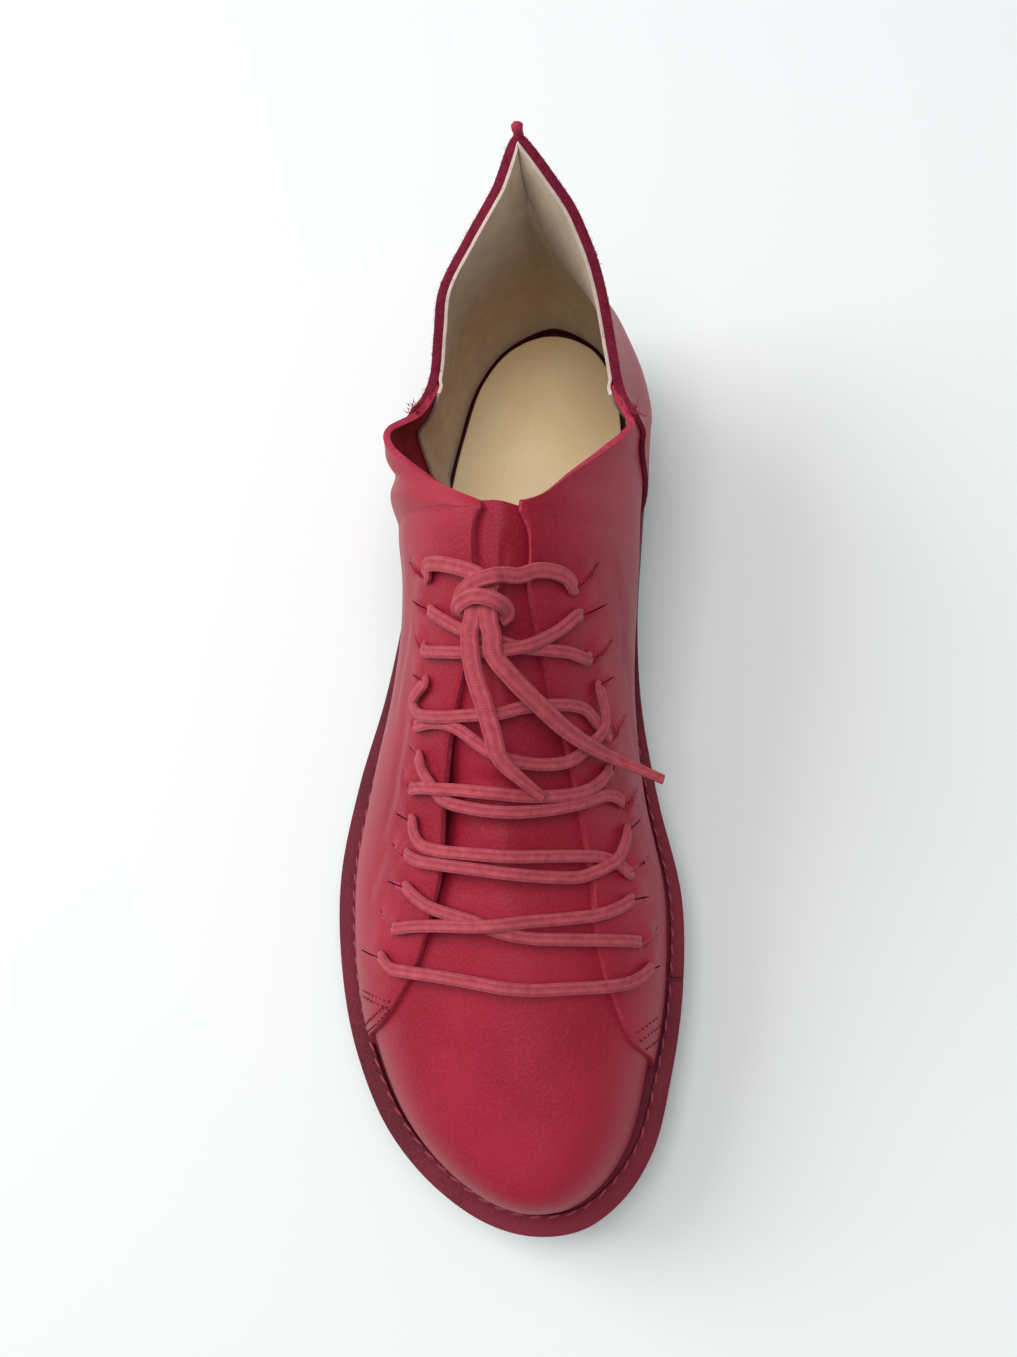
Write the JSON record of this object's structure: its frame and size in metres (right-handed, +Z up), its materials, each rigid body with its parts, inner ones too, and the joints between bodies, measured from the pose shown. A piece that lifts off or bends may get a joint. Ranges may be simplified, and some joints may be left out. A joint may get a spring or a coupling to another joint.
{
  "type": "casual shoe",
  "caption": "Lace-up leather ankle shoe for the right foot, with a flat stitched-down sole, pointed heel collar and slit lacing.",
  "frame": {"origin": "on the floor, under the middle of the shoe's outer box", "axes": "+Z up, toe towards -Y, heel towards +Y, the outer side of the right foot towards -X, the inner side towards +X"},
  "size_m": [0.0971, 0.266, 0.107],
  "materials": {
    "outsole_rubber": "matt moulded rubber, near black with a green cast",
    "midsole_leather": "dyed edge, waxed",
    "welt_leather": "dark wine, waxed, with a row of stitches",
    "upper_leather": "soft satin calf with fine grain and shallow creases",
    "insole_leather": "natural tan, matt",
    "lace": "flat woven cotton, matt"
  },
  "bodies": {
    "root": {"outsole": "outsole_rubber", "midsole": "midsole_leather", "welt": "welt_leather", "upper": "upper_leather", "tongue": "upper_leather", "insole": "insole_leather", "lace_bar_1": "lace", "lace_cross_2": "lace", "lace_cross_3": "lace", "lace_cross_4": "lace", "lace_cross_5": "lace", "lace_cross_6": "lace", "lace_knot": "lace", "lace_end_a": "lace", "lace_end_b": "lace"}
  },
  "joints": []
}
